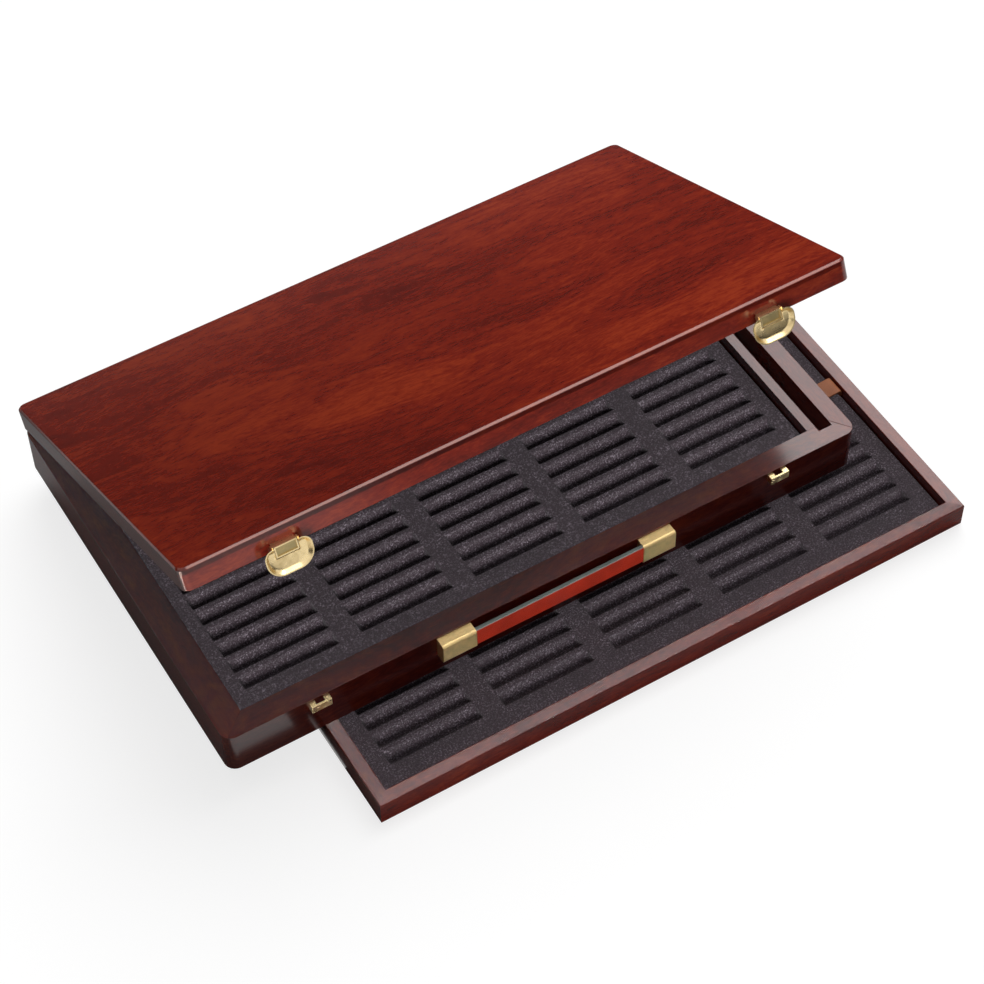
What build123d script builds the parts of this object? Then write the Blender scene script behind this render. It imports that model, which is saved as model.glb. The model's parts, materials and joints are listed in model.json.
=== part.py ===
"""A wooden box for soft pastels, in two layers.

A shallow lidded case stands on a loose tray that has been pulled out to the front and to the
right.  Both hold a foam insert with rows of round-bottomed slots, one stick to a slot.  The lid
turns on two butt hinges, hangs two brass latch flaps over its front edge and stands half open.

Frame: +X to the right, +Y to the back, +Z up, in millimetres.  The origin is on the floor,
under the middle of the case.
"""

from build123d import *
import os
from math import cos, radians, sin

os.makedirs("parts", exist_ok=True)

# ------------------------------------------------------------------------------ sizes: sticks
slot_length = 71.0           # for a stick 70 long
slot_width = 10.6            # for a stick 10 thick
slot_depth = 6.4
slot_pitch = 15.0            # from row to row
column_pitch = 88.2          # from column to column
columns = 5
case_rows = 16
tray_rows = 15
slot_sides = 8               # facets round a whole slot circle, few because the slots are many

# -------------------------------------------------------------------------------- sizes: case
case_width = 500.0
case_depth = 308.0
case_height = 36.5
case_corner = 8.5
left_wall = 20.0
right_wall = 13.0
end_wall = 17.0              # front and back walls
case_panel = 4.0             # the bottom panel, let into the walls from below
panel_rebate = 5.0
divider_width = 7.0
trough_width = 11.0
trough_depth = 18.0
trough_overrun = 4.5         # how far the trough runs into the front and back walls
trough_lip = 3.0
trough_cove = 3.5
case_foam_recess = 9.0       # from the rim down to the foam
foam_gap = 0.3

# -------------------------------------------------------------------------------- sizes: tray
tray_width = 472.8
tray_depth = 280.0
tray_height = 20.5
tray_wall = 9.6
tray_panel = 3.0
tray_rebate = 4.0
tray_foam_recess = 8.0
tray_right = 44.0            # how far the tray's side stands out beyond the case's
tray_front = 73.4            # how far the tray's front stands out beyond the case's
stack_gap = 0.3

# --------------------------------------------------------------------------------- sizes: lid
lid_thickness = 16.5
lid_panel_thickness = 4.5
lid_rail = 13.0
lid_corner = 6.5
lid_edge = 1.4
lid_gap = 0.3                # between the closed lid and the case's rim
lid_open = 24.6              # degrees
liner_recess = 0.5

# ------------------------------------------------------------------------------ sizes: hinges
hinge_inset = 85.0           # from the case's sides to the hinges' middles
hinge_width = 38.0
hinge_knuckles = 3
knuckle_gap = 0.2
knuckle_radius = 2.4
hinge_setback = 2.8          # from the back faces to the pin
leaf_thickness = 1.0
leaf_depth = 11.0
hinge_pin_radius = 1.2
pin_clearance = 0.04

# ----------------------------------------------------------------------------- sizes: latches
latch_inset = 68.5           # from the case's sides to the latches' middles
flap_width = 33.0
flap_height = 20.5
flap_rise = 6.5              # how far the flap reaches above the lid's lower edge
flap_top_corner = 6.5
flap_bottom_corner = 11.5
flap_standoff = 5.2          # clears the keeper
flap_dish = 3.3
flap_floor = 0.9
flap_rim = 0.9
flap_draft = 40.0            # degrees
bracket_width = 16.0
bracket_keeper_gap = 0.4     # between bracket and keeper with the lid closed
bracket_depth = 6.0
bracket_sheet = 1.0
bracket_drop = 0.3           # bracket's top below the flap's top
bracket_panel_sink = 0.8
bracket_side_gap = 0.3
bracket_under_gap = 0.5
latch_pin_radius = 0.8
latch_pin_drop = 1.3         # pin below the bracket's top
latch_pin_standoff = 3.2
ear_radius = 1.7
ear_thickness = 1.1
catch_width = 8.0
catch_thickness = 1.0
catch_reach = 0.25
prong_height = 3.0
prong_length = 5.0

keeper_width = 15.0
keeper_height = 6.5
keeper_depth = 4.7
keeper_sheet = 1.1
keeper_drop = 2.0            # keeper's top below the rim
keeper_notch_width = 6.4
keeper_notch_depth = 3.2

# ------------------------------------------------------------------------------ sizes: handle
cap_length = 26.0
cap_height = 18.0
cap_depth = 8.6
cap_drop = 1.6               # caps' top below the rim
cap_edge = 2.2
cap_end_wall = 1.2
strap_show = 132.5           # length of strap between the caps
strap_height = 16.2
strap_thickness = 3.3
strap_edge = 0.7
strap_fit = 0.2
finger_gap = 4.2
strap_travel = 4.0           # each way
post_radius = 2.2
post_inset = 10.5            # from a cap's open end
screw_radius = 1.5
screw_head_radius = 2.9
screw_bite = 4.5             # into the post

# ------------------------------------------------------------------------------- sizes: tabs
tab_width = 15.0
tab_thickness = 1.8
tab_reach = 44.0
tab_drop = 1.2               # tab's top below the tray's rim
tab_bend = 2.4
tab_leg = 5.8
tab_lift = 0.3               # free end above the foam

# --------------------------------------------------------------------------- worked-out places
case_base = tray_height + stack_gap
case_rim = case_base + case_height
case_left = -case_width / 2
case_right = case_width / 2
case_front = -case_depth / 2
case_back = case_depth / 2
pocket_left = case_left + left_wall
trough_right = case_right - right_wall
trough_left = trough_right - trough_width
pocket_right = trough_left - divider_width
pocket_front = case_front + end_wall
pocket_back = case_back - end_wall
case_floor = case_base + case_panel
case_foam_top = case_rim - case_foam_recess
trough_floor = case_rim - trough_depth

tray_x1 = case_right + tray_right
tray_x0 = tray_x1 - tray_width
tray_y0 = case_front - tray_front
tray_y1 = tray_y0 + tray_depth
tray_foam_top = tray_height - tray_foam_recess

hinge_y = case_back + hinge_setback
hinge_z = case_rim + lid_gap / 2
lid_back_y = -hinge_setback                   # in the lid's own frame
lid_front_y = lid_back_y - case_depth
lid_rail_height = lid_thickness - lid_panel_thickness

tilt = radians(lid_open)
floor_frame = Plane.XY
hinge_frame = Plane(origin=(0, hinge_y, hinge_z), x_dir=(1, 0, 0), z_dir=(0, 0, 1))
lid_frame = Plane(origin=(0, hinge_y, hinge_z), x_dir=(1, 0, 0), z_dir=(0, sin(tilt), cos(tilt)))
lid_under = lid_frame.offset(lid_gap / 2)     # the lid's lower face
lid_face = Plane(
    origin=lid_under.from_local_coords((0, lid_front_y, 0)),
    x_dir=(1, 0, 0),
    z_dir=(0, -cos(tilt), sin(tilt)),
)                                             # the lid's front face, heights from its lower edge
case_face = Plane(origin=(0, case_front, case_base), x_dir=(1, 0, 0), z_dir=(0, -1, 0))


# ------------------------------------------------------------------------------------ helpers
def save(piece, name):
    """Label a finished piece and write its file."""
    piece.part.label = name
    export_step(piece.part, f"parts/{name}.step")


def block(frame, x_span, y_span, z_span, mode=Mode.ADD):
    """A square block between pairs of limits in a frame, joined to or cut from the open part."""
    with BuildSketch(frame.offset(z_span[0])) as outline:
        with Locations(((x_span[0] + x_span[1]) / 2, (y_span[0] + y_span[1]) / 2)):
            Rectangle(x_span[1] - x_span[0], y_span[1] - y_span[0])
    extrude(outline.sketch, amount=z_span[1] - z_span[0], mode=mode)


def rod(frame, x_span, y, z, radius, mode=Mode.ADD):
    """A round rod or bore along the frame's X, between two X limits."""
    start = Plane(
        origin=frame.from_local_coords((x_span[0], y, z)), x_dir=frame.y_dir, z_dir=frame.x_dir
    )
    with BuildSketch(start) as disc:
        Circle(radius)
    extrude(disc.sketch, amount=x_span[1] - x_span[0], mode=mode)


def frame_sides(base, outer, inner, corner, height):
    """Four mitred sides of a frame, as front, right, back and left.

    outer and inner are (left, right, front, back) limits on the base plane.
    """
    outside = [(outer[0], outer[2]), (outer[1], outer[2]), (outer[1], outer[3]), (outer[0], outer[3])]
    inside = [(inner[0], inner[2]), (inner[1], inner[2]), (inner[1], inner[3]), (inner[0], inner[3])]
    sides = []
    for here in range(4):
        there = (here + 1) % 4
        with BuildPart() as side:
            with BuildSketch(base):
                with BuildLine():
                    Polyline(outside[here], outside[there], inside[there], inside[here], close=True)
                make_face()
                if corner > 0:
                    with Locations(((outer[0] + outer[1]) / 2, (outer[2] + outer[3]) / 2)):
                        RectangleRounded(
                            outer[1] - outer[0], outer[3] - outer[2], corner, mode=Mode.INTERSECT
                        )
            extrude(amount=height)
        sides.append(side)
    return sides


def slotted_foam(x_span, y_span, z_span, rows):
    """A foam insert with centred rows and columns of round-bottomed slots in its top."""
    middle_x = (x_span[0] + x_span[1]) / 2
    middle_y = (y_span[0] + y_span[1]) / 2
    round_height = z_span[1] - slot_depth + slot_width / 2
    with BuildPart() as foam:
        block(floor_frame, x_span, y_span, z_span)
        for column in range(columns):
            start = middle_x + (column - (columns - 1) / 2) * column_pitch - slot_length / 2
            slot_end = Plane(origin=(start, middle_y, 0), x_dir=(0, 1, 0), z_dir=(1, 0, 0))
            with BuildSketch(slot_end):
                with Locations((0, round_height)):
                    with GridLocations(slot_pitch, 1, rows, 1):
                        RegularPolygon(slot_width / 2, slot_sides)
                with Locations((0, (round_height + z_span[1]) / 2)):
                    with GridLocations(slot_pitch, 1, rows, 1):
                        Rectangle(slot_width, z_span[1] - round_height)
                with Locations((0, z_span[1] + slot_width / 2)):
                    Rectangle(y_span[1] - y_span[0], slot_width, mode=Mode.SUBTRACT)
            extrude(amount=slot_length, mode=Mode.SUBTRACT)
    return foam


# --------------------------------------------------------------------------------- case walls
case_outer = (case_left, case_right, case_front, case_back)
case_inner = (pocket_left, trough_right, pocket_front, pocket_back)
case_panel_x = (pocket_left - panel_rebate, trough_right + panel_rebate)
case_panel_y = (pocket_front - panel_rebate, pocket_back + panel_rebate)
case_panel_z = (case_base, case_floor)
trough_x = (trough_left, trough_right)
trough_cut_z = (trough_floor, case_rim)

post_x = strap_show / 2 + post_inset
handle_height = case_height - cap_drop - cap_height / 2       # above the case's underside
hinge_places = (case_left + hinge_inset, case_right - hinge_inset)
latch_places = (case_left + latch_inset, case_right - latch_inset)
keeper_top = case_height - keeper_drop
keeper_prong_y = (keeper_top - keeper_height / 2 - prong_height / 2,
                  keeper_top - keeper_height / 2 + prong_height / 2)


def prong_spans(centre, width, sheet):
    """X limits of the two prongs at the sides of a sheet-metal fitting."""
    near = (centre - width / 2, centre - width / 2 + sheet)
    far = (centre + width / 2 - sheet, centre + width / 2)
    return near, far


front_side, right_side, back_side, left_side = frame_sides(
    floor_frame.offset(case_base), case_outer, case_inner, case_corner, case_height
)

with BuildPart() as case_front_wall:
    add(front_side.part)
    block(floor_frame, case_panel_x, case_panel_y, case_panel_z, Mode.SUBTRACT)
    block(floor_frame, trough_x, (pocket_front - trough_overrun, pocket_front), trough_cut_z,
          Mode.SUBTRACT)
    for place in latch_places:
        for prong_x in prong_spans(place, keeper_width, keeper_sheet):
            block(case_face, prong_x, keeper_prong_y, (-prong_length, 0), Mode.SUBTRACT)
    for place in (-post_x, post_x):
        screw_seat = Plane(
            origin=(place, pocket_front, case_base + handle_height), x_dir=(1, 0, 0), z_dir=(0, 1, 0)
        )
        with Locations(screw_seat):
            CounterSinkHole(screw_radius + pin_clearance, screw_head_radius + pin_clearance, end_wall)
save(case_front_wall, "case_front_wall")

with BuildPart() as case_back_wall:
    add(back_side.part)
    block(floor_frame, case_panel_x, case_panel_y, case_panel_z, Mode.SUBTRACT)
    block(floor_frame, trough_x, (pocket_back, pocket_back + trough_overrun), trough_cut_z,
          Mode.SUBTRACT)
    for place in hinge_places:
        block(
            floor_frame,
            (place - hinge_width / 2, place + hinge_width / 2),
            (case_back - leaf_depth, case_back),
            (case_rim - leaf_thickness, case_rim),
            Mode.SUBTRACT,
        )
save(case_back_wall, "case_back_wall")

with BuildPart() as case_left_wall:
    add(left_side.part)
    block(floor_frame, case_panel_x, case_panel_y, case_panel_z, Mode.SUBTRACT)
save(case_left_wall, "case_left_wall")

with BuildPart() as case_right_wall:
    add(right_side.part)
    block(floor_frame, case_panel_x, case_panel_y, case_panel_z, Mode.SUBTRACT)
save(case_right_wall, "case_right_wall")

with BuildPart() as case_bottom:
    block(floor_frame, case_panel_x, case_panel_y, case_panel_z)
save(case_bottom, "case_bottom")

# ------------------------------------------------- divider and trough, one moulding on its side
trough_start = Plane(origin=(0, pocket_front, 0), x_dir=(1, 0, 0), z_dir=(0, -1, 0))
with BuildPart() as pencil_trough:
    with BuildSketch(trough_start):
        with BuildLine():
            Polyline(
                (pocket_right, case_floor),
                (trough_right, case_floor),
                (trough_right, trough_floor),
                (trough_left, trough_floor),
                (trough_left, case_rim),
                (pocket_right, case_rim),
                close=True,
            )
        moulding = make_face()
        heights = moulding.vertices().group_by(Axis.Y)
        cove = heights[1].sort_by(Axis.X)[0]
        lip = heights[-1].sort_by(Axis.X)[-1]
        fillet(lip, trough_lip)
        fillet(cove, trough_cove)
    extrude(amount=-(pocket_back - pocket_front))
save(pencil_trough, "pencil_trough")

# --------------------------------------------------------------------------------- case foam
case_foam = slotted_foam(
    (pocket_left + foam_gap, pocket_right - foam_gap),
    (pocket_front + foam_gap, pocket_back - foam_gap),
    (case_floor, case_foam_top),
    case_rows,
)
save(case_foam, "case_foam")

# ----------------------------------------------------------------------------------- keepers
for side, place in zip(("left", "right"), latch_places):
    with BuildPart() as keeper:
        x_span = (place - keeper_width / 2, place + keeper_width / 2)
        block(case_face, x_span, (keeper_top - keeper_height, keeper_top), (0, keeper_depth))
        block(
            case_face,
            (x_span[0] + keeper_sheet, x_span[1] - keeper_sheet),
            (keeper_top - keeper_height, keeper_top - keeper_sheet),
            (0, keeper_depth - keeper_sheet),
            Mode.SUBTRACT,
        )
        block(
            case_face,
            (place - keeper_notch_width / 2, place + keeper_notch_width / 2),
            (keeper_top - keeper_sheet, keeper_top),
            (0, keeper_notch_depth),
            Mode.SUBTRACT,
        )
        for prong_x in prong_spans(place, keeper_width, keeper_sheet):
            block(case_face, prong_x, keeper_prong_y, (-prong_length, 0))
    save(keeper, f"keeper_{side}")

# ------------------------------------------------------------------------------------- handle
strap_back = finger_gap
strap_front = finger_gap + strap_thickness
pocket_half = strap_height / 2 + strap_fit
strap_half = strap_show / 2 + cap_length - cap_end_wall - strap_travel - strap_fit

for side, hand in (("left", -1), ("right", 1)):
    open_end = hand * strap_show / 2
    closed_end = hand * (strap_show / 2 + cap_length)
    pocket_end = closed_end - hand * cap_end_wall
    with BuildPart() as handle_cap:
        block(
            case_face,
            sorted((open_end, closed_end)),
            (handle_height - cap_height / 2, handle_height + cap_height / 2),
            (0, cap_depth),
        )
        front_edges = handle_cap.edges().group_by(Axis.Y)[0]
        fillet(front_edges.filter_by(Axis.X), cap_edge)
        with BuildSketch(Plane(origin=case_face.from_local_coords((open_end, handle_height, 0)),
                               x_dir=(0, -1, 0), z_dir=(hand, 0, 0))):
            with Locations((strap_back + strap_thickness / 2, 0)):
                RectangleRounded(strap_thickness + 2 * strap_fit, 2 * pocket_half,
                                 strap_edge + strap_fit / 2)
        extrude(amount=abs(pocket_end - open_end), mode=Mode.SUBTRACT)
        with BuildSketch(case_face):
            with Locations((hand * post_x, handle_height)):
                Circle(post_radius)
        extrude(amount=strap_front + 2 * strap_fit)
        with BuildSketch(case_face):
            with Locations((hand * post_x, handle_height)):
                Circle(screw_radius + pin_clearance)
        extrude(amount=screw_bite + pin_clearance, mode=Mode.SUBTRACT)
    save(handle_cap, f"handle_cap_{side}")

with BuildPart() as handle_strap:
    with BuildSketch(Plane(origin=case_face.from_local_coords((-strap_half, handle_height, 0)),
                           x_dir=(0, -1, 0), z_dir=(1, 0, 0))):
        with Locations((strap_back + strap_thickness / 2, 0)):
            RectangleRounded(strap_thickness, strap_height, strap_edge)
    extrude(amount=2 * strap_half)
    slot_radius = post_radius + strap_fit
    with BuildSketch(case_face.offset(strap_back)):
        with Locations((-post_x, handle_height), (post_x, handle_height)):
            SlotOverall(2 * strap_travel + 2 * slot_radius, 2 * slot_radius)
    extrude(amount=strap_thickness, mode=Mode.SUBTRACT)
save(handle_strap, "handle_strap")

with BuildPart() as handle_screws:
    head_height = screw_head_radius - screw_radius
    for place in (-post_x, post_x):
        axis_start = (place, pocket_front, case_base + handle_height)
        with BuildSketch(Plane(origin=axis_start, x_dir=(1, 0, 0), z_dir=(0, 0, 1))):
            with BuildLine():
                Polyline(
                    (0, 0),
                    (screw_head_radius, 0),
                    (screw_radius, -head_height),
                    (screw_radius, -end_wall - screw_bite),
                    (0, -end_wall - screw_bite),
                    close=True,
                )
            make_face()
        revolve(axis=Axis(axis_start, (0, 1, 0)))
save(handle_screws, "handle_screws")


# ------------------------------------------------------------------------------------- hinges
def hinge_leaf(frame, place, own_knuckles, leaf_z):
    """One leaf of a butt hinge: a flat plate, its share of the knuckles and their bore."""
    pitch = hinge_width / hinge_knuckles
    plate_edge = -(knuckle_radius + knuckle_gap)
    with BuildPart() as leaf:
        block(
            frame,
            (place - hinge_width / 2, place + hinge_width / 2),
            (-hinge_setback - leaf_depth, min(plate_edge, -hinge_setback)),
            leaf_z,
        )
        for index in own_knuckles:
            start = place - hinge_width / 2 + index * pitch
            x_span = (start + knuckle_gap / 2, start + pitch - knuckle_gap / 2)
            block(frame, x_span, (-hinge_setback - leaf_thickness, 0), leaf_z)
            rod(frame, x_span, 0, 0, knuckle_radius)
        rod(frame, (place - hinge_width, place + hinge_width), 0, 0,
            hinge_pin_radius + pin_clearance, Mode.SUBTRACT)
    return leaf


case_leaf_z = (-lid_gap / 2 - leaf_thickness, -lid_gap / 2)
lid_leaf_z = (lid_gap / 2, lid_gap / 2 + leaf_thickness)
for side, place in zip(("left", "right"), hinge_places):
    case_leaf = hinge_leaf(hinge_frame, place, range(0, hinge_knuckles, 2), case_leaf_z)
    save(case_leaf, f"hinge_case_leaf_{side}")
    lid_leaf = hinge_leaf(lid_frame, place, range(1, hinge_knuckles, 2), lid_leaf_z)
    save(lid_leaf, f"hinge_lid_leaf_{side}")
    with BuildPart() as hinge_pin:
        rod(hinge_frame, (place - hinge_width / 2, place + hinge_width / 2), 0, 0, hinge_pin_radius)
    save(hinge_pin, f"hinge_pin_{side}")

# ---------------------------------------------------------------------------------------- lid
lid_outer = (case_left, case_right, lid_front_y, lid_back_y)
lid_inner = (case_left + lid_rail, case_right - lid_rail, lid_front_y + lid_rail, lid_back_y - lid_rail)
lid_front_side, lid_right_side, lid_back_side, lid_left_side = frame_sides(
    lid_under, lid_outer, lid_inner, lid_corner, lid_rail_height
)
bracket_top = flap_rise - bracket_drop
bracket_bottom = -lid_gap - keeper_drop + bracket_keeper_gap
pin_height = bracket_top - latch_pin_drop
bracket_prong_y = (pin_height - latch_pin_drop - prong_height, pin_height - latch_pin_drop)

with BuildPart() as lid_front_rail:
    add(lid_front_side.part)
    for place in latch_places:
        for prong_x in prong_spans(place, bracket_width, bracket_sheet):
            block(lid_face, prong_x, bracket_prong_y, (-prong_length, 0), Mode.SUBTRACT)
save(lid_front_rail, "lid_front_rail")

with BuildPart() as lid_back_rail:
    add(lid_back_side.part)
    for place in hinge_places:
        block(
            lid_frame,
            (place - hinge_width / 2, place + hinge_width / 2),
            (-hinge_setback - leaf_depth, -hinge_setback),
            lid_leaf_z,
            Mode.SUBTRACT,
        )
save(lid_back_rail, "lid_back_rail")

save(lid_left_side, "lid_left_rail")
save(lid_right_side, "lid_right_rail")

with BuildPart() as lid_panel:
    with BuildSketch(lid_under.offset(lid_rail_height)):
        with Locations((0, (lid_front_y + lid_back_y) / 2)):
            RectangleRounded(case_width, case_depth, lid_corner)
    extrude(amount=lid_panel_thickness)
    upper_face = lid_panel.faces().sort_by(Axis(lid_frame.origin, lid_frame.z_dir))[-1]
    chamfer(upper_face.edges(), lid_edge)
save(lid_panel, "lid_panel")

with BuildPart() as lid_liner:
    block(
        lid_under,
        (lid_inner[0] + foam_gap, lid_inner[1] - foam_gap),
        (lid_inner[2] + foam_gap, lid_inner[3] - foam_gap),
        (liner_recess, lid_rail_height),
    )
save(lid_liner, "lid_liner")

# ------------------------------------------------------------------------------------ latches
flap_front = flap_standoff + flap_dish


def flap_outline(place, inset):
    """The flap's front outline, an oval with a flatter top, drawn in by an inset."""
    with BuildSketch(lid_face.offset(flap_front)) as outline:
        with Locations((place, flap_rise - flap_height / 2)):
            Rectangle(flap_width - 2 * inset, flap_height - 2 * inset)
        low_corners = outline.vertices().group_by(Axis.Y)[0]
        fillet(low_corners, flap_bottom_corner - inset)
        high_corners = outline.vertices().group_by(Axis.Y)[-1]
        fillet(high_corners, flap_top_corner - inset)
    return outline.sketch


for side, place in zip(("left", "right"), latch_places):
    with BuildPart() as latch_bracket:
        x_span = (place - bracket_width / 2, place + bracket_width / 2)
        y_span = (bracket_bottom, bracket_top)
        block(lid_face, x_span, y_span, (0, bracket_depth))
        block(
            lid_face,
            (x_span[0] + bracket_sheet, x_span[1] - bracket_sheet),
            (y_span[0] + bracket_sheet, y_span[1] - bracket_sheet),
            (0, bracket_depth - bracket_sheet - bracket_panel_sink),
            Mode.SUBTRACT,
        )
        block(
            lid_face,
            (x_span[0] + bracket_sheet, x_span[1] - bracket_sheet),
            (y_span[0] + bracket_sheet, y_span[1] - bracket_sheet),
            (bracket_depth - bracket_panel_sink, bracket_depth),
            Mode.SUBTRACT,
        )
        rod(lid_face, (place - bracket_width, place + bracket_width), pin_height,
            latch_pin_standoff, latch_pin_radius + pin_clearance, Mode.SUBTRACT)
        for prong_x in prong_spans(place, bracket_width, bracket_sheet):
            block(lid_face, prong_x, bracket_prong_y, (-prong_length, 0))
    save(latch_bracket, f"latch_bracket_{side}")

    ear_outer = bracket_width / 2 + bracket_side_gap + ear_thickness
    with BuildPart() as latch_pin:
        rod(lid_face, (place - ear_outer, place + ear_outer), pin_height, latch_pin_standoff,
            latch_pin_radius)
    save(latch_pin, f"latch_pin_{side}")

    notch_x = (x_span[0] - bracket_side_gap, x_span[1] + bracket_side_gap)
    catch_top = -lid_gap - keeper_drop - keeper_height - catch_reach
    with BuildPart() as latch_flap:
        extrude(flap_outline(place, 0), amount=-flap_dish, taper=flap_draft)
        extrude(flap_outline(place, flap_rim), amount=flap_floor - flap_dish, taper=flap_draft,
                mode=Mode.SUBTRACT)
        block(lid_face, notch_x, (y_span[0] - bracket_under_gap, flap_rise + flap_rim),
              (0, flap_front + flap_rim), Mode.SUBTRACT)
        left_ear = (notch_x[0] - ear_thickness, notch_x[0])
        right_ear = (notch_x[1], notch_x[1] + ear_thickness)
        for ear_x in (left_ear, right_ear):
            block(lid_face, ear_x, (pin_height - ear_radius, pin_height + ear_radius),
                  (latch_pin_standoff, flap_standoff + flap_floor))
            rod(lid_face, ear_x, pin_height, latch_pin_standoff, ear_radius)
        rod(lid_face, (place - flap_width, place + flap_width), pin_height, latch_pin_standoff,
            latch_pin_radius + pin_clearance, Mode.SUBTRACT)
        block(lid_face, (place - catch_width / 2, place + catch_width / 2),
              (catch_top - catch_thickness, catch_top),
              (flap_standoff - catch_reach, flap_standoff + flap_floor / 2))
    save(latch_flap, f"latch_flap_{side}")

# --------------------------------------------------------------------------------------- tray
tray_outer = (tray_x0, tray_x1, tray_y0, tray_y1)
tray_inner = (tray_x0 + tray_wall, tray_x1 - tray_wall, tray_y0 + tray_wall, tray_y1 - tray_wall)
tray_panel_x = (tray_inner[0] - tray_rebate, tray_inner[1] + tray_rebate)
tray_panel_y = (tray_inner[2] - tray_rebate, tray_inner[3] + tray_rebate)
tray_panel_z = (0, tray_panel)

for side, tray_side in zip(
    ("front", "right", "back", "left"),
    frame_sides(floor_frame, tray_outer, tray_inner, 0, tray_height),
):
    with BuildPart() as tray_wall_piece:
        add(tray_side.part)
        block(floor_frame, tray_panel_x, tray_panel_y, tray_panel_z, Mode.SUBTRACT)
    save(tray_wall_piece, f"tray_{side}_wall")

with BuildPart() as tray_bottom:
    block(floor_frame, tray_panel_x, tray_panel_y, tray_panel_z)
save(tray_bottom, "tray_bottom")

tray_foam = slotted_foam(
    (tray_inner[0] + foam_gap, tray_inner[1] - foam_gap),
    (tray_inner[2] + foam_gap, tray_inner[3] - foam_gap),
    (tray_panel, tray_foam_top),
    tray_rows,
)
save(tray_foam, "tray_foam")

# ------------------------------------------------------------- lifting tabs at the tray's ends
tab_top = tray_height - tab_drop - tab_thickness / 2
tab_end_height = tray_foam_top + tab_lift + tab_thickness / 2
tab_middle = (tray_y0 + tray_y1) / 2
for side, hand, wall_x in (("left", -1, tray_inner[0]), ("right", 1, tray_inner[1])):
    leg_x = wall_x - hand * tab_thickness / 2
    with BuildPart() as lift_tab:
        with BuildSketch(Plane(origin=(0, tab_middle, 0), x_dir=(1, 0, 0), z_dir=(0, -1, 0))):
            with BuildLine():
                FilletPolyline(
                    (leg_x, tab_top - tab_leg),
                    (leg_x, tab_top),
                    (wall_x - hand * tab_reach / 2, tab_top - tab_thickness / 2),
                    (wall_x - hand * tab_reach, tab_end_height),
                    radius=[tab_bend, tab_reach],
                )
            trace(line_width=tab_thickness)
        extrude(amount=tab_width / 2, both=True)
    save(lift_tab, f"lift_tab_{side}")
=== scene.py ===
"""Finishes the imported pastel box: lacquered wood, slotted foam, brass fittings and leather.

The file is laid out as an add-on.  Sizes and colours are scene properties, each group of like
pieces has its own operator, and a panel in the sidebar lists them all.
"""

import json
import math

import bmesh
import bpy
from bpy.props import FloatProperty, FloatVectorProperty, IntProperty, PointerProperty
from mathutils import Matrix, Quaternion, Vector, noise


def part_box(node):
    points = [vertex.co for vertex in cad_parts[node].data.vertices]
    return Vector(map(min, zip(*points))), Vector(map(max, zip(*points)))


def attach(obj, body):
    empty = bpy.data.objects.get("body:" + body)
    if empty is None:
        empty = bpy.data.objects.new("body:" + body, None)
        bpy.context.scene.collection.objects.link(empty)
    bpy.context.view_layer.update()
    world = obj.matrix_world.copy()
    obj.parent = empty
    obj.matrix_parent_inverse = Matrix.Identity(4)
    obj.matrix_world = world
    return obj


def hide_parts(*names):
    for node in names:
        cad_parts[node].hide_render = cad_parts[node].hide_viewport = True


bl_info = {
    "name": "Pastel Box Finish",
    "version": (1, 0, 0),
    "blender": (4, 5, 0),
    "location": "3D View > Sidebar > Pastel Box",
    "description": "Gives a two-layer pastel box its wood, foam, brass and leather",
    "category": "Object",
}

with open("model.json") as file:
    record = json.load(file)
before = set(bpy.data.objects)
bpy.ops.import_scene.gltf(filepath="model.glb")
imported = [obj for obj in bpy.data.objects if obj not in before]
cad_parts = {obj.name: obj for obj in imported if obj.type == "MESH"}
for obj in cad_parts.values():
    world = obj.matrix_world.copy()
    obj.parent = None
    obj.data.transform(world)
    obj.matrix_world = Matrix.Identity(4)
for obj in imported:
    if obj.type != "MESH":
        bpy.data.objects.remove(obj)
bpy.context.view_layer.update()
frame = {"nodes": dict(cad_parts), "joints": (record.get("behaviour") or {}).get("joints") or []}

LID_JOINT = next(joint for joint in frame["joints"] if joint["name"] == "lid_hinge")
LID_TILT = math.radians(-LID_JOINT["range_deg"][0])
LID_PLACE = Matrix.Translation(LID_JOINT["pos_m"]) @ Matrix.Rotation(-LID_TILT, 4, "X")
LEVEL = Matrix.Identity(4)
SIDES = ("left", "right")


# ------------------------------------------------------------------------------------ settings
def length(name, description, default):
    return FloatProperty(name=name, description=description, default=default, unit="LENGTH")


def colour(name, description, default):
    return FloatVectorProperty(
        name=name, description=description, default=default, subtype="COLOR", size=3, min=0, max=1
    )


class WoodFinish(bpy.types.PropertyGroup):
    """Lacquered wood of the case, lid and tray."""

    edge: length("Edge", "Radius worn onto the walls' long edges", 0.0006)
    lid_edge: length("Lid Edge", "Radius worn onto the edges of the lid's top", 0.00035)
    dark: colour("Dark", "Darkest figure", (0.080, 0.0090, 0.0064))
    middle: colour("Middle", "Ground colour", (0.150, 0.0142, 0.0076))
    light: colour("Light", "Brightest figure", (0.235, 0.0300, 0.0105))
    lacquer: FloatProperty(name="Lacquer", description="Roughness of the clear coat", default=0.16,
                           min=0, max=1, subtype="FACTOR")


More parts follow.
